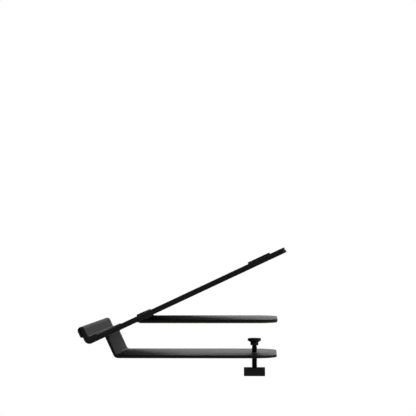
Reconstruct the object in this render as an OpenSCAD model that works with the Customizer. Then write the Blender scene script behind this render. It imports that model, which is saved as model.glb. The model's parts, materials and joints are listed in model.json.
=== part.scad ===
// Clamp-on laptop stand. A sloping sheet-steel tray with a front lip stands on an upper arm
// that lies on a board. A lower arm reaches under the board and carries a clamp screw.
// +X runs towards the tray's rear edge, +Y across the stand and +Z up. The origin is the
// centre of the cork face that rests on the board's top, half way across the stand.

/* [Tray] */
// Slope of the tray above the board, in degrees
tray_angle = 25; // [20:1:30]
// Width of the tray across the stand
tray_w = 225; // [180:5:260]
// Thickness of the tray's steel sheet
tray_t = 3; // [2:0.5:4]
// Length of the tray along its slope, from the lip's face to the rear edge
tray_l = 232.5; // [225:0.5:250]
// Height of the lip above the tray's underside
lip_h = 18.4; // [15:0.1:25]
// Inside radius of the sheet's bends
bend_r = 3; // [2:0.5:4]
// Radius of the tray's rear corners
tray_corner_r = 6; // [2:1:15]

/* [Tray lining] */
// Thickness of the rubber mat on the tray
mat_t = 2.8; // [1:0.1:3.5]
// Height of the grip strips above the mat
strip_h = 1.8; // [1:0.1:3]
// Width of the centre grip strip along the slope
centre_strip_l = 9.5; // [6:0.5:14]
// Length of the centre grip strip across the tray
centre_strip_w = 80; // [40:5:160]
// Width of the rear grip strip along the slope
rear_strip_l = 26; // [12:1:30]
// Length of the rear grip strip across the tray
rear_strip_w = 160; // [80:5:170]
// Thickness of the bumper on the lip's two faces
bumper_t = 2.4; // [1.6:0.1:3]
// Reach of the bumper's foot along the tray, from the lip's outer face
bumper_foot_l = 15; // [12:0.5:20]

/* [Arms] */
// Thickness of the arms' steel plate
arm_t = 3; // [2:0.5:4]
// Width of both arms across the stand
arm_w = 116; // [90:1:150]
// Reach of the upper arm from the origin to its free end
upper_reach = 76; // [70:1:90]
// Reach of the lower arm from the origin to its free end
lower_reach = 75; // [70:1:90]
// Radius of the arms' free corners
arm_corner_r = 25; // [10:1:40]
// Thickness of the cork sheet under the upper arm
cork_t = 1; // [0.8:0.1:2]
// Clear height between the cork and the lower arm
jaw_h = 35; // [35:1:50]
// Distance of the riser's outer face behind the lip's outer face
riser_back = 14; // [13:0.5:18]

/* [Clamp] */
// Distance of the screw's axis from the origin
screw_x = 50; // [35:1:55]
// Diameter of the screw's thread
screw_d = 6; // [5:1:8]
// Diameter of the swivel pad
pad_d = 15.4; // [14:0.2:20]
// Depth of the pad's rubber face below the cork at rest
pad_drop = 19.4; // [18:0.1:20]
// Length of the handle bar
handle_l = 24; // [20:1:40]
// Depth of the handle bar across its flat sides
handle_w = 9; // [8:1:12]
// Height of the handle bar
handle_h = 9.6; // [8:0.1:14]
// Distance of the handle's top below the cork at rest
handle_drop = 52.4; // [52:0.1:60]

/* [Hidden] */
$fn = 64;

// Colours
steel_black = [0.07, 0.07, 0.07];
rubber_black = [0.13, 0.13, 0.13];
plastic_black = [0.10, 0.10, 0.11];
cork_brown = [0.62, 0.47, 0.32];
oxide_black = [0.10, 0.10, 0.105];
brass_yellow = [0.78, 0.63, 0.32];

eps = 0.5;

// The tray's own axes: u runs up the slope and v square to the sheet, from the line where
// the tray's underside crosses the level of the board's top
cross_x = -80.3;
lip_u = -49.7;
rear_u = lip_u + tray_l;
bend_out = bend_r + tray_t;
lip_bend = [lip_u + bend_out, bend_out];
mat_v = tray_t + mat_t;
rest_v = mat_v + strip_h;

// Levels of the arms
arm_bottom = cork_t;
arm_top = cork_t + arm_t;
low_top = -jaw_h;
low_bottom = low_top - arm_t;

// Centre of the lower arm's bend, tangent to the level arm and to the riser
riser_u = lip_u + riser_back;
arm_bend_out = bend_r + arm_t;
arm_bend_u = riser_u + arm_bend_out;
arm_bend_z = low_bottom + arm_bend_out;
arm_bend_v = (arm_bend_z - arm_bend_u * sin(tray_angle)) / cos(tray_angle);
arm_bend = tray_point(arm_bend_u, arm_bend_v);

// Strip places along the slope
centre_strip_u = 3.6;
rear_strip_u = 140.2;
mat_end_u = rear_u - 0.5;
mat_inset = 1;

// Clamp screw: the ball's centre and the pad's levels below the cork
pad_face_t = 1.2;
pad_disc_t = 1.9;
pad_cone_h = 1.4;
pad_collar_h = 3.6;
pad_collar_d = 9;
disc_top = -pad_drop - pad_face_t;
disc_bottom = disc_top - pad_disc_t;
collar_top = disc_bottom - pad_cone_h;
collar_bottom = collar_top - pad_collar_h;
ball_r = 3.1;
fit_gap = 0.05;
socket_r = ball_r + 2 * fit_gap;
ball_z = collar_bottom + 1.55;
ball_flat_z = collar_bottom - 0.1;
shoulder_z = collar_bottom - 0.7;
tip_r = 1.7;
waist_r = 1.5;
neck_r = 2.3;
tip_top = ball_z + 1.05;
tip_bottom = ball_z - 0.85;

// Bush
bush_sleeve_d = 9;
bush_flange_d = 13;
bush_flange_t = 2.5;

// Handle and its set screw
handle_top = -handle_drop;
handle_bottom = handle_top - handle_h;
handle_corner_r = 1.2;
socket_depth = 7.5;
rod_r = screw_d / 2 - fit_gap;
flat_y = 2.5;
grub_d = 3;
grub_l = 1.9;
grub_hex = 1.7;

// Stands its children in the tray's axes
module on_tray() {
    translate([cross_x, 0, 0]) rotate([0, -tray_angle, 0]) children();
}

// The point of the X and Z plane at u and v on the tray
function tray_point(u, v = 0) =
    [cross_x + u * cos(tray_angle) - v * sin(tray_angle), u * sin(tray_angle) + v * cos(tray_angle)];

// Extrudes an outline drawn in X and Z across the stand
module across(w) {
    rotate([90, 0, 0]) linear_extrude(w, center = true) children();
}

// Points along an arc round c, from one direction to another
function arc(c, r, from, to, steps = 16) =
    [for (i = [0 : steps]) let (a = from + (to - from) * i / steps) c + r * [cos(a), sin(a)]];

// Outline of a plate with two round corners at its far end
module round_end_plan(x0, x1, w, r) {
    translate([x0, -w / 2]) square([x1 - r - x0, w]);
    translate([x0, -w / 2 + r]) square([x1 - x0, w - 2 * r]);
    for (s = [-1, 1]) translate([x1 - r, s * (w / 2 - r)]) circle(r);
}

// Block with round upright edges
module round_block(l, w, h, r) {
    linear_extrude(h) {
        square([l, w - 2 * r], center = true);
        square([l - 2 * r, w], center = true);
        for (sx = [-1, 1]) {
            for (sy = [-1, 1]) translate([sx * (l / 2 - r), sy * (w / 2 - r)]) circle(r);
        }
    }
}

// Strip with round ends, lying across the tray on the mat
module grip_strip(u, l, w, r) {
    on_tray() translate([u + l / 2, 0, mat_v]) round_block(l, w, strip_h, r);
}

// Outline of the folded tray sheet: the slope, the bend and the lip
module tray_outline() {
    polygon(concat(
        [[rear_u, tray_t], [rear_u, 0]],
        arc(lip_bend, bend_out, 270, 180),
        [[lip_u, lip_h], [lip_u + tray_t, lip_h]],
        arc(lip_bend, bend_r, 180, 270)
    ));
}

module tray_plate() {
    color(steel_black) on_tray() intersection() {
        across(tray_w) tray_outline();
        translate([0, 0, -eps]) linear_extrude(lip_h + 2 * eps)
            round_end_plan(lip_u - eps, rear_u, tray_w, tray_corner_r);
    }
}

module tray_mat() {
    mat_start = lip_u + bumper_foot_l;
    color(rubber_black) on_tray() translate([0, 0, tray_t]) linear_extrude(mat_t)
        round_end_plan(mat_start, mat_end_u, tray_w - 2 * mat_inset, tray_corner_r - mat_inset);
}

// Outline of the bumper: a cap over the lip, a back against its inner face and a foot
module bumper_outline() {
    front_u = lip_u - bumper_t;
    back_u = lip_u + tray_t + bumper_t;
    top_v = lip_h + bumper_t;
    skirt_v = 9.5;
    skirt_r = 2.2;
    crown_r = (back_u - front_u) / 2;
    cove_r = 1.5;
    difference() {
        union() {
            translate([front_u, skirt_v + skirt_r])
                square([back_u - front_u, top_v - crown_r - skirt_v - skirt_r]);
            translate([front_u + skirt_r, skirt_v]) square([bumper_t, 2 * skirt_r]);
            translate([front_u + skirt_r, skirt_v + skirt_r]) circle(skirt_r);
            translate([front_u + crown_r, top_v - crown_r]) circle(crown_r);
            translate([lip_u, tray_t]) square([back_u - lip_u, top_v - crown_r - tray_t]);
            translate([lip_u, tray_t]) square([bumper_foot_l, rest_v - tray_t]);
            difference() {
                translate([back_u, rest_v]) square(cove_r);
                translate([back_u + cove_r, rest_v + cove_r]) circle(cove_r);
            }
        }
        // the room that the lip and its bend take
        polygon(concat(
            [[lip_u, 0], [lip_u, lip_h], [lip_u + tray_t, lip_h]],
            arc(lip_bend, bend_r, 180, 270),
            [[lip_bend[0], 0]]
        ));
    }
}

module front_bumper() {
    color(rubber_black) on_tray() across(tray_w) bumper_outline();
}

module centre_grip_strip() {
    color(rubber_black) grip_strip(centre_strip_u, centre_strip_l, centre_strip_w, 1.5);
}

module rear_grip_strip() {
    color(rubber_black) grip_strip(rear_strip_u, rear_strip_l, rear_strip_w, 4);
}

// The upper arm's end is cut to the tray's underside, which it is welded to
module upper_arm() {
    back_x = cross_x;
    color(steel_black) difference() {
        translate([0, 0, arm_bottom]) linear_extrude(arm_t)
            round_end_plan(back_x, upper_reach, arm_w, arm_corner_r);
        on_tray() translate([-20, -arm_w, 0]) cube([60, 2 * arm_w, 20]);
    }
}

module cork_pad() {
    cork_inset = 0.5;
    cork_back = cork_inset - upper_reach;
    color(cork_brown) linear_extrude(cork_t)
        round_end_plan(cork_back, upper_reach - cork_inset, arm_w - 2 * cork_inset,
            arm_corner_r - cork_inset);
}

// Outline of the lower arm: a level strip, a bend and a riser square to the tray
module lower_arm_outline() {
    polygon(concat(
        [[lower_reach, low_top], [lower_reach, low_bottom]],
        arc(arm_bend, arm_bend_out, 270, 180 + tray_angle),
        [tray_point(riser_u), tray_point(riser_u + arm_t)],
        arc(arm_bend, bend_r, 180 + tray_angle, 270)
    ));
}

module lower_arm() {
    color(steel_black) difference() {
        intersection() {
            across(arm_w) lower_arm_outline();
            translate([0, 0, low_bottom - eps]) linear_extrude(jaw_h)
                round_end_plan(2 * cross_x, lower_reach, arm_w, arm_corner_r);
        }
        translate([screw_x, 0, low_bottom - eps]) cylinder(h = arm_t + 2 * eps, d = bush_sleeve_d);
    }
}

module thread_bush() {
    color(oxide_black) translate([screw_x, 0, 0]) difference() {
        union() {
            translate([0, 0, low_bottom]) cylinder(h = arm_t, d = bush_sleeve_d);
            translate([0, 0, low_bottom - bush_flange_t]) cylinder(h = bush_flange_t, d = bush_flange_d);
        }
        translate([0, 0, low_bottom - bush_flange_t - eps])
            cylinder(h = arm_t + bush_flange_t + 2 * eps, d = screw_d);
    }
}

// Fillet welds in the riser's inner corner with the tray and in the upper arm's sharp corner
module weld_beads() {
    leg = 1.5;
    wedge = 3;
    weld_w = arm_w - 10;
    apex = arm_top / sin(tray_angle);
    color(steel_black) {
        on_tray() across(weld_w) polygon([[riser_u + arm_t, 0], [riser_u + arm_t, -leg],
            [riser_u + arm_t + leg, 0]]);
        on_tray() across(weld_w) polygon([[apex, 0], [apex + wedge, 0],
            [apex + wedge * cos(tray_angle), -wedge * sin(tray_angle)]]);
    }
}

// Ball bush with a chamber for the screw's tip and a staked mouth round its neck
module swivel_ball() {
    color(brass_yellow) translate([screw_x, 0, 0]) difference() {
        translate([0, 0, ball_z]) sphere(ball_r);
        translate([0, 0, ball_flat_z - ball_r]) cylinder(h = ball_r, r = ball_r);
        translate([0, 0, tip_bottom - fit_gap])
            cylinder(h = tip_top - tip_bottom + 2 * fit_gap, r = tip_r + fit_gap);
        translate([0, 0, ball_z - 2 * ball_r]) cylinder(h = 2 * ball_r, r = waist_r + fit_gap);
    }
}

module clamp_spindle() {
    color(oxide_black) translate([screw_x, 0, 0]) {
        translate([0, 0, tip_bottom]) cylinder(h = tip_top - tip_bottom, r = tip_r);
        translate([0, 0, shoulder_z]) cylinder(h = tip_bottom - shoulder_z, r = waist_r);
        translate([0, 0, shoulder_z]) cylinder(h = ball_flat_z - fit_gap - shoulder_z, r = neck_r);
        difference() {
            translate([0, 0, handle_top - socket_depth])
                cylinder(h = shoulder_z - handle_top + socket_depth, r = rod_r);
            translate([-screw_d, flat_y, handle_top - socket_depth - eps])
                cube([2 * screw_d, screw_d, socket_depth + eps]);
        }
    }
}

module handle_bar() {
    grub_z = handle_top - socket_depth / 2;
    color(plastic_black) translate([screw_x, 0, 0]) difference() {
        translate([0, 0, handle_bottom]) round_block(handle_l, handle_w, handle_h, handle_corner_r);
        difference() {
            translate([0, 0, handle_top - socket_depth])
                cylinder(h = socket_depth + eps, d = screw_d);
            translate([-screw_d, flat_y, handle_top - socket_depth - eps])
                cube([2 * screw_d, screw_d, socket_depth + eps]);
        }
        translate([0, flat_y, grub_z]) rotate([-90, 0, 0]) cylinder(h = handle_w, d = grub_d);
    }
}

module handle_set_screw() {
    grub_z = handle_top - socket_depth / 2;
    color(oxide_black) translate([screw_x, flat_y, grub_z]) rotate([-90, 0, 0]) difference() {
        cylinder(h = grub_l, d = grub_d);
        translate([0, 0, grub_l / 2]) cylinder(h = grub_l, d = grub_hex, $fn = 6);
    }
}

module pad_cup() {
    color(steel_black) translate([screw_x, 0, 0]) difference() {
        union() {
            translate([0, 0, disc_bottom]) cylinder(h = pad_disc_t, d = pad_d);
            translate([0, 0, collar_top]) cylinder(h = pad_cone_h, d1 = pad_collar_d, d2 = pad_d - 1);
            translate([0, 0, collar_bottom]) cylinder(h = pad_collar_h, d = pad_collar_d);
        }
        translate([0, 0, ball_z]) sphere(socket_r);
    }
}

module pad_face() {
    color(rubber_black) translate([screw_x, 0, disc_top]) cylinder(h = pad_face_t, d = pad_d - 0.6);
}

tray_plate();
tray_mat();
front_bumper();
centre_grip_strip();
rear_grip_strip();
upper_arm();
cork_pad();
lower_arm();
thread_bush();
weld_beads();
swivel_ball();
clamp_spindle();
handle_bar();
handle_set_screw();
pad_cup();
pad_face();
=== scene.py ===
"""Looks of a clamp-on laptop stand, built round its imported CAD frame.

Every piece stands for one CAD node, at the same place and size. Sizes come from the frame, and
the values named below are finishes that the CAD model leaves plain. Everything is in metres.
"""
import json
import math

import bmesh
import bpy
from mathutils import Matrix, Vector, noise


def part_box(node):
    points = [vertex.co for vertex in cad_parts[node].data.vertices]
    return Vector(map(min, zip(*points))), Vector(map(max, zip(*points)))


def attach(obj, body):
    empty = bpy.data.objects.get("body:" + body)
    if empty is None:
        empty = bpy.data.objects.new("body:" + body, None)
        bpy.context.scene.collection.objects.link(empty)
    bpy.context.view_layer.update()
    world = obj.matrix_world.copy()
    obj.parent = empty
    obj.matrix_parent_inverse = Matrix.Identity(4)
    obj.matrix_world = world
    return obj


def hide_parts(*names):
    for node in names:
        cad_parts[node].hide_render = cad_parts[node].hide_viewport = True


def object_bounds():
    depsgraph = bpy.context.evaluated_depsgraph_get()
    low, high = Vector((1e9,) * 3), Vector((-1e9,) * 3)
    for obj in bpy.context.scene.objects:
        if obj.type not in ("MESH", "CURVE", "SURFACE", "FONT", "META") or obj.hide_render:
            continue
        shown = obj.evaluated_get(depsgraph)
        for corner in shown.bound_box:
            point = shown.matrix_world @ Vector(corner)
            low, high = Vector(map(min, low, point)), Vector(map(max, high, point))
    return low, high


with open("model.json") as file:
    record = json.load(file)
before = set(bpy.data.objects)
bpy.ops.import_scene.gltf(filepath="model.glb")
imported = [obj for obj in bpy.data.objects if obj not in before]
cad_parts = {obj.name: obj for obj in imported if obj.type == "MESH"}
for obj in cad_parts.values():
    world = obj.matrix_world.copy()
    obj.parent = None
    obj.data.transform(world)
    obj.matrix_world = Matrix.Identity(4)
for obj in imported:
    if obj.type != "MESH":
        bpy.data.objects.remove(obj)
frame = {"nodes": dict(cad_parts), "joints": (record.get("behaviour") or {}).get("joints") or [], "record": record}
cad_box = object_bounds()
scene = bpy.context.scene

MM = 0.001
CHORD = 0.01 * MM           # how far a round edge's flats may lie from the true curve
SHEET_EDGE = 0.5 * MM       # rounding of the coated sheet's edges
BEND_IN = 3 * MM            # inside radius of the sheet's bends
BEND_CUTS = 14
RUBBER_EDGE = 0.5 * MM
TRAY_CORNER = 6 * MM        # corner radii, seen from above
MAT_CORNER = 5 * MM
ARM_CORNER = 25 * MM
CORK_INSET = 0.5 * MM       # from the upper arm's outline to the cork's
SKIRT_RISE = 9.5 * MM       # the bumper's front lower end, above the tray's underside
SKIRT_R = 2.2 * MM
RISER_LEG = 1.5 * MM        # the weld beads' legs
APEX_LEG = 3 * MM
PITCH = 1 * MM              # the clamp screw's thread
THREAD_DEPTH = 0.30 * MM
CLEAR_R = 3.02 * MM         # bores that the screw's rod stands in
BUSH_SLEEVE_R = 4.5 * MM
FLOOR_DROP = 1.6            # from the stand's lowest point down to the floor
X, Y, Z = Vector((1, 0, 0)), Vector((0, 1, 0)), Vector((0, 0, 1))


# ---------------------------------------------------------------- places, from the frame

def mount(name):
    return next(m for m in frame["record"]["mounts"] if m["name"] == name)


def joint(name):
    return next(j for j in frame["joints"] if j["name"] == name)


rest_axis = Vector(mount("laptop_rest_face")["axis"])
SLOPE = math.atan2(-rest_axis.x, rest_axis.z)
UPHILL = Matrix.Rotation(-SLOPE, 4, "Y")        # from the tray's axes u, y, v to the row frame
SCREW = Vector(joint("clamp_turn")["pos_m"])    # the ball's centre, on the screw's axis


def tray_span(node):
    """Lowest and highest corner of a CAD node in the tray's axes: u uphill, y across, v off the tray."""
    to_tray = UPHILL.inverted()
    points = [to_tray @ v.co for v in frame["nodes"][node].data.vertices]
    return Vector(map(min, zip(*points))), Vector(map(max, zip(*points)))


def on_tray(u, y, v):
    return UPHILL @ Vector((u, y, v))


# ---------------------------------------------------------------- shapes

def filleted(corners):
    """An outline through corners given as (x, y, radius), each rounded to its radius."""
    points = []
    for i, (x, y, radius) in enumerate(corners):
        corner = Vector((x, y))
        if radius <= 0:
            points.append(corner)
            continue
        back = (Vector(corners[i - 1][:2]) - corner).normalized()
        ahead = (Vector(corners[(i + 1) % len(corners)][:2]) - corner).normalized()
        half = back.angle(ahead) / 2
        centre = corner + (back + ahead).normalized() * (radius / math.sin(half))
        spoke = corner + back * (radius / math.tan(half)) - centre
        sweep = math.copysign(math.pi - 2 * half, ahead.cross(back))
        steps = max(3, math.ceil(abs(sweep) / (2 * math.acos(1 - CHORD / radius))))
        points += [centre + Matrix.Rotation(sweep * k / steps, 2) @ spoke for k in range(steps + 1)]
    return points


def plan(x0, x1, width, near_r, far_r):
    """Anticlockwise outline of a plate, with one corner radius at x0 and another at x1."""
    half = width / 2
    return filleted([(x1, -half, far_r), (x1, half, far_r), (x0, half, near_r), (x0, -half, near_r)])


def inset(outline, depth):
    """An anticlockwise outline moved inwards."""
    moved = []
    for i, point in enumerate(outline):
        before = (point - outline[i - 1]).normalized()
        after = (outline[(i + 1) % len(outline)] - point).normalized()
        inward = Vector((-before.y - after.y, before.x + after.x)).normalized()
        moved.append(point + inward * (depth / inward.dot(Vector((-before.y, before.x)))))
    return moved


def prism(outline, low, high, edge, steps=4):
    """A closed plate of that outline between two levels, with both rims rounded to edge."""
    quarter = [math.pi / 2 * k / steps for k in range(steps + 1)]
    rim = [(edge * (1 - math.sin(a)), edge * (1 - math.cos(a))) for a in quarter]
    layers = [(d, low + h) for d, h in rim] + [(d, high - h) for d, h in reversed(rim)]
    bm = bmesh.new()
    rings = [[bm.verts.new((*p, z)) for p in inset(outline, d)] for d, z in layers]
    for lower, upper in zip(rings, rings[1:]):
        for k in range(len(outline)):
            bm.faces.new((lower[k - 1], lower[k], upper[k], upper[k - 1]))
    bm.faces.new(rings[-1])
    bm.faces.new(reversed(rings[0]))
    bmesh.ops.remove_doubles(bm, verts=bm.verts[:], dist=0.5 * CHORD)
    return bm


def slice_at(bm, axis, places):
    """Adds edges where planes square to one axis cross the mesh."""
    normal = Vector([float(k == axis) for k in range(3)])
    for place in places:
        geometry = bm.verts[:] + bm.edges[:] + bm.faces[:]
        bmesh.ops.bisect_plane(bm, geom=geometry, plane_co=normal * place, plane_no=normal)


def folded(s, c, start, outer, turn):
    """Where a flat sheet's point goes when the sheet, past start, is folded up round its bend."""
    past = start - s
    if past <= 0:
        return s, c
    length = turn * (outer + BEND_IN) / 2
    angle = min(past / length, 1) * turn
    straight = max(past - length, 0)
    radius = outer - c
    return (start - radius * math.sin(angle) - straight * math.cos(angle),
            outer - radius * math.cos(angle) + straight * math.sin(angle))


def fold(bm, start, outer, turn):
    """Folds a flat sheet whose lower face is at level 0. The part past start turns up."""
    length = turn * (outer + BEND_IN) / 2
    slice_at(bm, 0, [start - length * k / BEND_CUTS for k in range(BEND_CUTS + 1)])
    for v in bm.verts:
        v.co.x, v.co.z = folded(v.co.x, v.co.z, start, outer, turn)


def move(bm, place):
    for v in bm.verts:
        v.co = place(*v.co)
    bm.normal_update()
    bmesh.ops.recalc_face_normals(bm, faces=bm.faces[:])


def lathe(profile, steps=64):
    """Turns a closed outline of (radius, height) points round the screw's axis."""
    bm = bmesh.new()
    ring = [bm.verts.new((SCREW.x + r, SCREW.y, z)) for r, z in profile]
    edges = [bm.edges.new((ring[k - 1], ring[k])) for k in range(len(ring))]
    axis = {"cent": (SCREW.x, SCREW.y, 0), "axis": (0, 0, 1)}
    bmesh.ops.spin(bm, geom=ring + edges, angle=2 * math.pi, steps=steps, use_duplicate=False, **axis)
    bmesh.ops.remove_doubles(bm, verts=bm.verts[:], dist=0.001 * MM)
    loose = [e for e in bm.edges if not e.link_faces]
    bmesh.ops.delete(bm, geom=loose, context="EDGES")
    bmesh.ops.recalc_face_normals(bm, faces=bm.faces[:])
    return bm


def cut_off(bm, point, normal):
    """Removes what lies beyond a plane and closes the cut."""
    geometry = bm.verts[:] + bm.edges[:] + bm.faces[:]
    bmesh.ops.bisect_plane(bm, geom=geometry, plane_co=point, plane_no=normal, clear_outer=True)
    open_edges = [e for e in bm.edges if e.is_boundary]
    bmesh.ops.holes_fill(bm, edges=open_edges, sides=0)


def facing(bm, direction):
    """The largest face that looks that way."""
    bm.normal_update()
    return max(bm.faces, key=lambda f: (f.normal.dot(Vector(direction)) > 0.99) * f.calc_area())


def circle(centre, radius, one_way, other_way, steps=48):
    """A ring of points round a centre, in the plane of two directions."""
    turns = [2 * math.pi * k / steps for k in range(steps)]
    return [Vector(centre) + radius * (math.cos(a) * one_way + math.sin(a) * other_way) for a in turns]


def drill(bm, face, rings, exit_face=None):
    """Opens a face round the first ring of points and lines the hole to the last, which is a
    floor or lies in the face where the hole comes out."""
    loops = [[bm.verts.new(point) for point in ring] for ring in rings]
    for opened, loop in ((face, loops[0]), (exit_face, loops[-1])):
        if opened:
            edges = list(opened.edges) + [bm.edges.new((loop[k - 1], loop[k])) for k in range(len(loop))]
            bm.faces.remove(opened)
            bmesh.ops.triangle_fill(bm, edges=edges, use_beauty=True)
    if not exit_face:
        bm.faces.new(loops[-1])
    for mouth, depth in zip(loops, loops[1:]):
        for k in range(len(mouth)):
            bm.faces.new((mouth[k - 1], mouth[k], depth[k], depth[k - 1]))
    bmesh.ops.recalc_face_normals(bm, faces=bm.faces[:])


def add(bm, other):
    """Puts another mesh's solids into this one."""
    mesh = bpy.data.meshes.new("part")
    other.to_mesh(mesh)
    other.free()
    bm.from_mesh(mesh)
    bpy.data.meshes.remove(mesh)


def piece(name, bm, material, body, node):
    """Makes a shown piece that rides on a body and stands for a CAD node."""
    mesh = bpy.data.meshes.new(name)
    bm.to_mesh(mesh)
    bm.free()
    mesh.shade_smooth()
    mesh.set_sharp_from_angle(angle=math.radians(50))
    mesh.materials.append(material)
    made = bpy.data.objects.new(name, mesh)
    scene.collection.objects.link(made)
    normals = made.modifiers.new("normals", "WEIGHTED_NORMAL")
    normals.keep_sharp = True
    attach(made, body)
    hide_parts(node)
    return made


# ---------------------------------------------------------------- materials

class Nodes:
    """A principled material and short calls that add its nodes."""

    def __init__(self, name, **sockets):
        self.material = bpy.data.materials.new(name)
        self.material.use_nodes = True
        self.tree = self.material.node_tree
        self.shader = self.tree.nodes["Principled BSDF"]
        for socket, value in sockets.items():
            self.shader.inputs[socket.replace("_", " ")].default_value = value
        self.place = self.add("ShaderNodeTexCoord").outputs["Object"]
        self.normal = None

    def add(self, kind, **inputs):
        node = self.tree.nodes.new(kind)
        for name, value in inputs.items():
            socket = node.inputs[name.replace("_", " ")]
            if isinstance(value, bpy.types.NodeSocket):
                self.tree.links.new(value, socket)
            else:
                socket.default_value = value
        return node

    def grain(self, size, detail=2, place=None):
        """Noise from 0 to 1 whose lumps are about that size."""
        node = self.add("ShaderNodeTexNoise", Vector=place or self.place, Scale=1 / size, Detail=detail)
        return node.outputs["Fac"]

    def between(self, value, low, high, start=0.3, end=0.7):
        """Stretches a value's middle over a range."""
        node = self.add("ShaderNodeMapRange", Value=value, To_Min=low, To_Max=high)
        node.inputs["From Min"].default_value = start
        node.inputs["From Max"].default_value = end
        return node.outputs["Result"]

    def tones(self, value, *colours):
        """A ramp of evenly spaced colours."""
        node = self.add("ShaderNodeValToRGB", Fac=value)
        ramp = node.color_ramp.elements
        while len(ramp) < len(colours):
            ramp.new(1)
        for k, colour in enumerate(colours):
            ramp[k].position = k / (len(colours) - 1)
            ramp[k].color = (*colour, 1)
        return node.outputs["Color"]

    def relief(self, height, depth):
        """Adds a surface relief of that depth to the ones before it."""
        node = self.add("ShaderNodeBump", Height=height, Distance=depth)
        if self.normal:
            self.tree.links.new(self.normal, node.inputs["Normal"])
        self.normal = node.outputs["Normal"]
        self.tree.links.new(self.normal, self.shader.inputs["Normal"])

    def link(self, value, socket):
        self.tree.links.new(value, self.shader.inputs[socket])


def grey(value, warm=0.0):
    return (value * (1 + warm), value, value * (1 - warm))


def powder_coat():
    """Satin black powder coat, with the orange peel of the sprayed film and a fine grit."""
    m = Nodes("powder_coat")
    cloud = m.between(m.grain(14 * MM), 0, 1)
    m.link(m.tones(cloud, grey(0.011), grey(0.015)), "Base Color")
    m.link(m.between(m.grain(3 * MM, 4), 0.40, 0.48), "Roughness")
    m.relief(m.grain(1.1 * MM, 1), 0.012 * MM)
    m.relief(m.grain(0.22 * MM, 2), 0.005 * MM)
    return m.material


def rubber(name, tone, size, depth):
    """Matt black rubber with a moulded grain of that size, and a little bloom."""
    m = Nodes(name)
    bloom = m.between(m.grain(9 * MM, 5), 0, 1, 0.42, 0.75)
    m.link(m.tones(bloom, grey(tone), grey(tone * 1.2, 0.04)), "Base Color")
    m.link(m.between(m.grain(2 * MM, 3), 0.62, 0.78), "Roughness")
    m.relief(m.grain(size, 2), depth)
    m.relief(m.grain(size / 4, 1), depth / 5)
    return m.material


def moulded_plastic():
    m = Nodes("handle_plastic")
    m.link(m.tones(m.grain(6 * MM), grey(0.030), grey(0.038)), "Base Color")
    m.link(m.between(m.grain(1.5 * MM, 3), 0.42, 0.52), "Roughness")
    m.relief(m.grain(0.35 * MM, 2), 0.012 * MM)
    return m.material


def turned(name, dark, light, rough, metallic=1.0):
    """Turned metal, with fine rings round the screw's axis."""
    m = Nodes(name, Metallic=metallic)
    offset = m.add("ShaderNodeVectorMath")
    offset.operation = "SUBTRACT"
    m.tree.links.new(m.place, offset.inputs[0])
    offset.inputs[1].default_value = (SCREW.x, SCREW.y, 0)
    parts = m.add("ShaderNodeSeparateXYZ", Vector=offset.outputs["Vector"])
    flat = m.add("ShaderNodeCombineXYZ", X=parts.outputs["X"], Y=parts.outputs["Y"])
    reach = m.add("ShaderNodeVectorMath")
    reach.operation = "LENGTH"
    m.tree.links.new(flat.outputs["Vector"], reach.inputs[0])
    ring = m.add("ShaderNodeCombineXYZ", X=reach.outputs["Value"], Z=parts.outputs["Z"])
    rings = m.grain(0.12 * MM, 3, ring.outputs["Vector"])
    m.link(m.tones(m.grain(3 * MM, 4), dark, light), "Base Color")
    m.link(m.between(rings, rough - 0.06, rough + 0.06), "Roughness")
    m.relief(rings, 0.004 * MM)
    return m.material


def cork():
    """Pressed cork: packed granules of several tans, each a little mottled, with dark bark specks."""
    m = Nodes("cork", Roughness=0.85)
    cells = m.add("ShaderNodeTexVoronoi", Vector=m.place, Scale=1 / (1.7 * MM))
    shade = m.add("ShaderNodeSeparateColor", Color=cells.outputs["Color"]).outputs["Red"]
    mottle = m.add("ShaderNodeMath")
    mottle.operation = "MULTIPLY_ADD"
    m.tree.links.new(m.between(m.grain(0.7 * MM, 4), -0.25, 0.25), mottle.inputs[0])
    mottle.inputs[1].default_value = 1
    m.tree.links.new(shade, mottle.inputs[2])
    browns = m.tones(mottle.outputs["Value"], (0.27, 0.155, 0.075), (0.42, 0.265, 0.14), (0.50, 0.33, 0.18),
                     (0.58, 0.405, 0.24))
    specks = m.between(m.grain(0.9 * MM, 3), 0, 1, 0.63, 0.70)
    mix = m.add("ShaderNodeMix")
    mix.data_type = "RGBA"
    m.tree.links.new(specks, mix.inputs["Factor"])
    m.tree.links.new(browns, mix.inputs["A"])
    mix.inputs["B"].default_value = (0.085, 0.042, 0.020, 1)
    m.link(mix.outputs["Result"], "Base Color")
    m.relief(cells.outputs["Distance"], -0.25 * MM)
    m.relief(m.grain(0.5 * MM, 3), 0.08 * MM)
    return m.material


coat = powder_coat()
oxide = turned("screw_steel", grey(0.020), grey(0.035), 0.36)


# ---------------------------------------------------------------- the frame's pieces

sheet_low, sheet_high = tray_span("tray_plate")
mat_low, mat_high = tray_span("tray_mat")
bumper_low, bumper_high = tray_span("front_bumper")
UNDER = sheet_low.z                     # the tray's underside, off the row's origin
TRAY_T = mat_low.z - UNDER
TRAY_BEND = BEND_IN + TRAY_T


def make_tray():
    """The folded sheet: cut flat, then its front turned up into the lip."""
    start = sheet_low.x + TRAY_BEND
    lip = sheet_high.z - UNDER - TRAY_BEND
    front = start - math.pi / 2 * (TRAY_BEND + BEND_IN) / 2 - lip
    width = sheet_high.y - sheet_low.y
    bm = prism(plan(front, sheet_high.x, width, 1 * MM, TRAY_CORNER), 0, TRAY_T, SHEET_EDGE)
    fold(bm, start, TRAY_BEND, math.pi / 2)
    move(bm, lambda u, y, v: on_tray(u, y, v + UNDER))
    piece("tray_sheet", bm, coat, "frame", "tray_plate")


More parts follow.
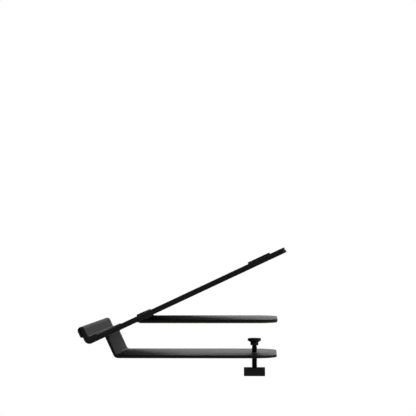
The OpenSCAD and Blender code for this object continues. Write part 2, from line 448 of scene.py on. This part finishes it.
def make_mat():
    width = mat_high.y - mat_low.y
    outline = plan(mat_low.x, mat_high.x, width, 0.5 * MM, MAT_CORNER)
    bm = prism(outline, mat_low.z, mat_high.z, RUBBER_EDGE)
    move(bm, on_tray)
    piece("rubber_mat", bm, rubber("mat_rubber", 0.027, 0.5 * MM, 0.03 * MM), "frame", "tray_mat")


def make_bumper():
    """Extruded rubber: a cap over the lip, a back behind it and a foot on the tray."""
    front, lip, top = bumper_low.x, sheet_low.x, bumper_high.z
    wall = lip - front
    back = lip + TRAY_T + wall
    foot, foot_top = bumper_high.x, tray_span("rear_grip_strip")[1].z
    skirt = UNDER + SKIRT_RISE
    lip_top = sheet_high.z
    crown = (back - front) * 0.499      # just under half the width, so the top is a full round
    outline = filleted([
        (front, skirt, SKIRT_R), (lip, skirt, 0), (lip, lip_top, 0), (lip + TRAY_T, lip_top, 0),
        (lip + TRAY_T, mat_low.z, BEND_IN), (foot, mat_low.z, 0), (foot, foot_top, 0.5 * MM),
        (back, foot_top, 1.5 * MM), (back, top, crown), (front, top, crown)])
    bm = prism(outline, bumper_low.y, bumper_high.y, 0.4 * MM)
    move(bm, lambda u, v, y: on_tray(u, y, v))
    piece("lip_bumper", bm, rubber("bumper_rubber", 0.023, 0.4 * MM, 0.02 * MM), "frame", "front_bumper")


def make_strip(name, node, corner_r, material):
    low, high = tray_span(node)
    bm = prism(plan(low.x, high.x, high.y - low.y, corner_r, corner_r), low.z, high.z, RUBBER_EDGE)
    move(bm, on_tray)
    piece(name, bm, material, "frame", node)


def make_upper_arm():
    """A level plate whose back end is mitred to the tray's underside."""
    low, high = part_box("upper_arm")
    spare = 5 * MM                      # cut away by the mitre
    outline = plan(low.x - spare, high.x, high.y - low.y, 1 * MM, ARM_CORNER)
    bm = prism(outline, low.z, high.z, SHEET_EDGE)
    cut_off(bm, on_tray(0, 0, UNDER), rest_axis)
    piece("upper_arm_plate", bm, coat, "frame", "upper_arm")


def make_lower_arm():
    """A level plate folded up into the riser, with a hole for the bush."""
    low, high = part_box("lower_arm")
    thick = TRAY_T
    outer = BEND_IN + thick
    bend_z = low.z + outer
    bend_u = tray_span("lower_arm")[0].x + outer
    start = (bend_u - bend_z * math.sin(SLOPE)) / math.cos(SLOPE)
    bend_v = bend_z * math.cos(SLOPE) - start * math.sin(SLOPE)
    turn = math.pi / 2 - SLOPE
    end = start - turn * (outer + BEND_IN) / 2 - (UNDER - bend_v)
    bm = prism(plan(end, high.x, high.y - low.y, 0.3 * MM, ARM_CORNER), 0, thick, SHEET_EDGE)
    lead = 0.25 * MM
    rings = [circle((SCREW.x, 0, z), BUSH_SLEEVE_R + gap, X, Y)
             for z, gap in ((thick, lead), (thick - lead, 0), (0, 0))]
    drill(bm, facing(bm, Z), rings, facing(bm, -Z))
    fold(bm, start, outer, turn)
    move(bm, lambda x, y, z: Vector((x, y, z + low.z)))
    piece("lower_arm_plate", bm, coat, "frame", "lower_arm")


def weld_bead(corner, one_way, other_way, leg, y0, y1):
    """A fillet bead along Y in the corner between two faces, with a hand weld's ripples."""
    ripple, sweep, around = 1.3 * MM, 0.9 * MM, 9
    rows = round((y1 - y0) / (0.16 * MM))
    outward = (one_way + other_way).normalized()
    bm = bmesh.new()
    rings = []
    for k in range(rows + 1):
        y = y0 + (y1 - y0) * k / rows
        nearest = min(y - y0, y1 - y) / leg
        size = leg * math.sqrt(max(1 - (1 - min(nearest, 1)) ** 2, 0.01))
        size *= 1 + 0.06 * noise.noise(Vector((y / (6 * MM), leg * 1000, 0)))
        ring = [bm.verts.new(corner + Vector((0, y, 0)))]
        for j in range(around + 1):
            t = j / around
            crown = math.sin(math.pi * t)
            phase = (y - sweep * crown) / ripple
            step = (phase % 1) * min(1, 6 * (1 - phase % 1))
            lift = crown * (0.10 * size + 0.10 * MM * step)
            point = corner + one_way * size * (1 - t) + other_way * size * t + outward * lift
            ring.append(bm.verts.new(point + Vector((0, y, 0))))
        rings.append(ring)
    for lower, upper in zip(rings, rings[1:]):
        for k in range(len(lower)):
            bm.faces.new((lower[k - 1], lower[k], upper[k], upper[k - 1]))
    bm.faces.new(rings[-1])
    bm.faces.new(reversed(rings[0]))
    bmesh.ops.recalc_face_normals(bm, faces=bm.faces[:])
    return bm


def make_welds():
    low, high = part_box("weld_beads")
    riser = tray_span("lower_arm")[0].x
    arm_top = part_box("upper_arm")[1].z
    apex = Vector(((arm_top * math.cos(SLOPE) - UNDER) / math.sin(SLOPE), 0, arm_top))
    uphill, down = on_tray(1, 0, 0), on_tray(0, 0, -1)
    bm = weld_bead(on_tray(riser + TRAY_T, 0, UNDER), uphill, down, RISER_LEG, low.y, high.y)
    add(bm, weld_bead(apex, uphill, X, APEX_LEG, low.y, high.y))
    piece("weld_runs", bm, coat, "frame", "weld_beads")


def make_cork():
    """A thin sheet whose granules stand out a little on its face and its cut edge."""
    low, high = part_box("cork_pad")
    outline = plan(low.x, high.x, high.y - low.y, 0.5 * MM, ARM_CORNER - CORK_INSET)
    bm = prism(outline, low.z, high.z, 0.2 * MM, 2)
    slice_at(bm, 0, [low.x + k * MM for k in range(1, int((high.x - low.x) / MM) + 1)])
    slice_at(bm, 1, [low.y + k * MM for k in range(1, int((high.y - low.y) / MM) + 1)])
    bm.normal_update()
    middle = (low.z + high.z) / 2
    for v in bm.verts:
        if v.co.z > middle and v.normal.z > 0.9:
            continue
        grain = noise.noise(v.co / (1.6 * MM)) + 0.6 * noise.noise(v.co / (0.7 * MM))
        v.co -= v.normal * (0.09 * MM * (1 + grain))
    piece("cork_sheet", bm, cork(), "frame", "cork_pad")


def make_bush():
    low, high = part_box("thread_bush")
    flange_r = (high.x - low.x) / 2
    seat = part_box("lower_arm")[0].z
    lead = 0.4 * MM
    profile = filleted([
        (CLEAR_R + lead, low.z, 0), (flange_r, low.z, 0.5 * MM), (flange_r, seat, 0.15 * MM),
        (BUSH_SLEEVE_R, seat, 0), (BUSH_SLEEVE_R, high.z, 0.25 * MM), (CLEAR_R + lead, high.z, 0),
        (CLEAR_R, high.z - lead, 0), (CLEAR_R, low.z + lead, 0)])
    piece("bush", lathe(profile), oxide, "frame", "thread_bush")


# ---------------------------------------------------------------- the clamp's pieces

def thread(radius, z0, z1, steps=48):
    """A rod with a right-hand thread, chamfered at its top."""
    root = radius - THREAD_DEPTH
    shape = (radius, radius, root, root)        # crest, crest, root, root along one turn
    rise = PITCH / len(shape)
    rows = math.ceil((z1 - z0) / rise) + 3 * len(shape)
    start = z0 - 1.5 * PITCH
    bm = bmesh.new()
    columns = []
    for i in range(steps):
        angle = 2 * math.pi * i / steps
        column = []
        for k in range(rows):
            z = start + rise * k + PITCH * i / steps
            r = min(shape[k % len(shape)], max(root * 0.95, root * 0.95 + z1 - z))
            column.append(bm.verts.new((SCREW.x + r * math.cos(angle), r * math.sin(angle), z)))
        columns.append(column)
    for i in range(steps):
        here, there = columns[i], columns[(i + 1) % steps]
        shift = len(shape) if i == steps - 1 else 0
        for k in range(rows - 1 - shift):
            bm.faces.new((here[k], there[k + shift], there[k + 1 + shift], here[k + 1]))
    cut_off(bm, Vector((0, 0, z1)), Vector((0, 0, 1)))
    cut_off(bm, Vector((0, 0, z0)), Vector((0, 0, -1)))
    bmesh.ops.dissolve_degenerate(bm, dist=0.001 * MM, edges=bm.edges[:])
    bmesh.ops.recalc_face_normals(bm, faces=bm.faces[:])
    return bm


handle_low, handle_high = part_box("handle_bar")
cup_low, cup_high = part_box("pad_cup")


def make_spindle():
    """The threaded rod, with a turned neck and tip in the ball and a flat in the handle."""
    low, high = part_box("clamp_spindle")
    radius = (high.x - low.x) / 2
    shoulder = cup_low.z - 0.7 * MM
    neck, waist, tip = 2.3 * MM, 1.5 * MM, 1.7 * MM
    neck_top, tip_bottom = cup_low.z - 0.15 * MM, SCREW.z - 0.85 * MM
    bm = thread(radius, handle_high.z - 0.2 * MM, shoulder)
    add(bm, lathe(filleted([
        (0, shoulder - 1 * MM, 0), (neck, shoulder - 1 * MM, 0), (neck, neck_top, 0.2 * MM),
        (waist, neck_top, 0.1 * MM), (waist, tip_bottom, 0), (tip, tip_bottom, 0.1 * MM),
        (tip, high.z, 0.3 * MM), (0, high.z, 0)])))
    flat = 2.5 * MM
    away = math.asin(flat / radius)
    around = [math.pi - away + (math.pi + 2 * away) * k / 48 for k in range(49)]
    stub = [Vector((SCREW.x + radius * math.cos(a), radius * math.sin(a))) for a in around]
    add(bm, prism(stub, low.z, handle_high.z - 0.1 * MM, 0.3 * MM))
    piece("screw_rod", bm, oxide, "screw", "clamp_spindle")


def make_handle():
    """A moulded bar with round edges, a socket for the rod and a hole for the set screw."""
    radius, edge, lead = 1.2 * MM, 0.7 * MM, 0.15 * MM
    outline = plan(handle_low.x, handle_high.x, handle_high.y - handle_low.y, radius, radius)
    bm = prism(outline, handle_low.z, handle_high.z, edge, 6)
    floor_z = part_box("clamp_spindle")[0].z - 0.05 * MM
    drill(bm, facing(bm, Z), [circle((SCREW.x, 0, z), r, X, Y) for z, r in (
        (handle_high.z, CLEAR_R + lead), (handle_high.z - lead, CLEAR_R), (floor_z, CLEAR_R))])
    low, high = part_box("handle_set_screw")
    middle, grub_r = (low.z + high.z) / 2, (high.x - low.x) / 2 + 0.02 * MM
    drill(bm, facing(bm, Y), [circle((SCREW.x, y, middle), r, X, Z) for y, r in (
        (handle_high.y, grub_r + lead), (handle_high.y - lead, grub_r), (low.y - 0.05 * MM, grub_r))])
    piece("turning_handle", bm, moulded_plastic(), "screw", "handle_bar")


def make_set_screw():
    """A grub screw with a hexagon socket, sunk in its hole."""
    low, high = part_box("handle_set_screw")
    radius, middle = (high.x - low.x) / 2, (low.z + high.z) / 2
    disc = [Vector((p.x, p.z)) for p in circle((SCREW.x, 0, 0), radius, X, Z, 40)]
    bm = prism(disc, low.y, high.y, 0.25 * MM, 2)
    move(bm, lambda x, z, y: Vector((x, y, middle + z)))
    depth = (high.y - low.y) / 2
    drill(bm, facing(bm, Y), [circle((SCREW.x, high.y - d, middle), 0.85 * MM, X, Z, 6) for d in (0, depth)])
    piece("grub_screw", bm, oxide, "screw", "handle_set_screw")


def make_pad():
    """The swivel pad: a turned cup round the ball, with a rubber face on its disc."""
    rim, bottom, top = (cup_high.x - cup_low.x) / 2, cup_low.z, cup_high.z
    collar_r, collar_top, disc_bottom = 4.5 * MM, bottom + 3.6 * MM, top - 1.9 * MM
    socket_r = 3.2 * MM
    mouth = math.acos((SCREW.z - bottom) / socket_r)
    ball_side = [Vector((socket_r * math.sin(a), SCREW.z - socket_r * math.cos(a)))
                 for a in (mouth + (math.pi - mouth) * k / 20 for k in range(21))]
    outside = filleted([
        (socket_r * math.sin(mouth) + 0.01 * MM, bottom, 0), (collar_r, bottom, 0.6 * MM),
        (collar_r, collar_top, 1.0 * MM), (rim - 0.9 * MM, disc_bottom, 0.5 * MM),
        (rim, disc_bottom + 0.5 * MM, 0.6 * MM), (rim, top, 0.4 * MM), (0, top, 0)])
    profile = outside + list(reversed(ball_side))
    piece("pad_body", lathe(profile, 96), turned("black_steel", grey(0.055), grey(0.075), 0.40, 0.0),
          "pad", "pad_cup")
    low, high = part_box("pad_face")
    face = (high.x - low.x) / 2
    bm = lathe(filleted([(0, low.z, 0), (face, low.z, 0.1 * MM), (face, high.z, 0.45 * MM), (0, high.z, 0)]),
               96)
    piece("pad_disc", bm, rubber("pad_rubber", 0.030, 0.3 * MM, 0.02 * MM), "pad", "pad_face")


def make_ball():
    low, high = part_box("swivel_ball")
    radius = (high.x - low.x) / 2
    bore, chamber = 1.55 * MM, 1.75 * MM
    floor_z, roof_z = SCREW.z - 0.9 * MM, SCREW.z + 1.1 * MM
    rim = math.acos((SCREW.z - low.z) / radius)
    side = [Vector((radius * math.sin(a), SCREW.z - radius * math.cos(a)))
            for a in (rim + (math.pi - rim) * k / 24 for k in range(25))]
    inside = [Vector(p) for p in ((0, roof_z), (chamber, roof_z), (chamber, floor_z), (bore, floor_z),
                                  (bore, low.z))]
    brass = turned("ball_brass", (0.42, 0.29, 0.12), (0.55, 0.40, 0.18), 0.30)
    piece("brass_ball", lathe(side + inside), brass, "ball", "swivel_ball")


# ---------------------------------------------------------------- the studio

def make_camera():
    data = bpy.data.cameras.new("camera")
    data.lens = 112.15
    data.sensor_width = 36
    camera = bpy.data.objects.new("camera", data)
    camera.location = (0.0642, -1.473, 0.0681)
    camera.rotation_euler = (math.radians(92.335), math.radians(0.098), math.radians(2.590))
    scene.collection.objects.link(camera)
    scene.camera = camera


def make_floor():
    """A pale floor well below the stand, which hangs from a board that isn't shown."""
    bm = bmesh.new()
    bmesh.ops.create_circle(bm, cap_ends=True, segments=96, radius=6)
    mesh = bpy.data.meshes.new("floor")
    bm.to_mesh(mesh)
    bm.free()
    floor = bpy.data.objects.new("floor", mesh)
    floor.location.z = cad_box[0].z - FLOOR_DROP
    scene.collection.objects.link(floor)
    paint = Nodes("floor_paint", Roughness=0.9, Emission_Strength=0.9)
    paint.link(paint.tones(paint.grain(0.4), grey(0.86), grey(0.9)), "Base Color")
    mesh.materials.append(paint.material)
    floor.visible_diffuse = False
    floor.visible_glossy = False


def soft_light(name, place, size, watts):
    """A large lamp that faces the frame's origin and isn't seen itself."""
    data = bpy.data.lights.new(name, "AREA")
    data.shape = "RECTANGLE"
    data.size, data.size_y = size
    data.energy = watts
    light = bpy.data.objects.new(name, data)
    light.location = place
    light.rotation_euler = (-Vector(place)).to_track_quat("-Z", "Y").to_euler()
    light.visible_camera = False
    scene.collection.objects.link(light)


def make_world():
    """White to the eye, and a dim tent to the stand: lighter on its right and behind, most below."""
    world = bpy.data.worlds.new("world")
    world.use_nodes = True
    tree = world.node_tree
    scene.world = world
    shown = tree.nodes["Background"]
    shown.inputs["Color"].default_value = (1, 1, 1, 1)
    tent = tree.nodes.new("ShaderNodeBackground")
    tent.inputs["Color"].default_value = (1, 1, 1, 1)
    direction = tree.nodes.new("ShaderNodeTexCoord").outputs["Generated"]
    parts = tree.nodes.new("ShaderNodeSeparateXYZ")
    tree.links.new(direction, parts.inputs["Vector"])
    total = None
    for axis, start, end, glow in (("X", -0.8, 0.6, 0.12), ("Y", 0.0, 0.9, 0.10), ("Z", -0.2, -0.9, 0.35)):
        ramp = tree.nodes.new("ShaderNodeMapRange")
        ramp.interpolation_type = "SMOOTHSTEP"
        for name, value in (("From Min", start), ("From Max", end), ("To Min", 0.02), ("To Max", glow)):
            ramp.inputs[name].default_value = value
        tree.links.new(parts.outputs[axis], ramp.inputs["Value"])
        both = tree.nodes.new("ShaderNodeMath")
        tree.links.new(ramp.outputs["Result"], both.inputs[0])
        both.inputs[1].default_value = 0
        if total:
            tree.links.new(total, both.inputs[1])
        total = both.outputs["Value"]
    tree.links.new(total, tent.inputs["Strength"])
    path = tree.nodes.new("ShaderNodeLightPath")
    mix = tree.nodes.new("ShaderNodeMixShader")
    tree.links.new(path.outputs["Is Camera Ray"], mix.inputs["Fac"])
    tree.links.new(tent.outputs["Background"], mix.inputs[1])
    tree.links.new(shown.outputs["Background"], mix.inputs[2])
    tree.links.new(mix.outputs["Shader"], tree.nodes["World Output"].inputs["Surface"])


make_camera()
make_tray()
make_mat()
make_bumper()
strip = rubber("strip_rubber", 0.021, 0.35 * MM, 0.02 * MM)
make_strip("centre_strip", "centre_grip_strip", 1.5 * MM, strip)
make_strip("rear_strip", "rear_grip_strip", 4 * MM, strip)
make_upper_arm()
make_lower_arm()
make_welds()
make_cork()
make_bush()
make_spindle()
make_handle()
make_set_screw()
make_pad()
make_ball()

make_floor()
make_world()
soft_light("backdrop", (0.1, 2.67, 1.29), (1.8, 1.2), 12)
soft_light("key", (1.8, 1.0, 2.1), (3.2, 2.4), 36)
soft_light("fill", (-2.0, -0.8, 2.0), (2.4, 2.4), 18)
scene.view_settings.view_transform = "Standard"
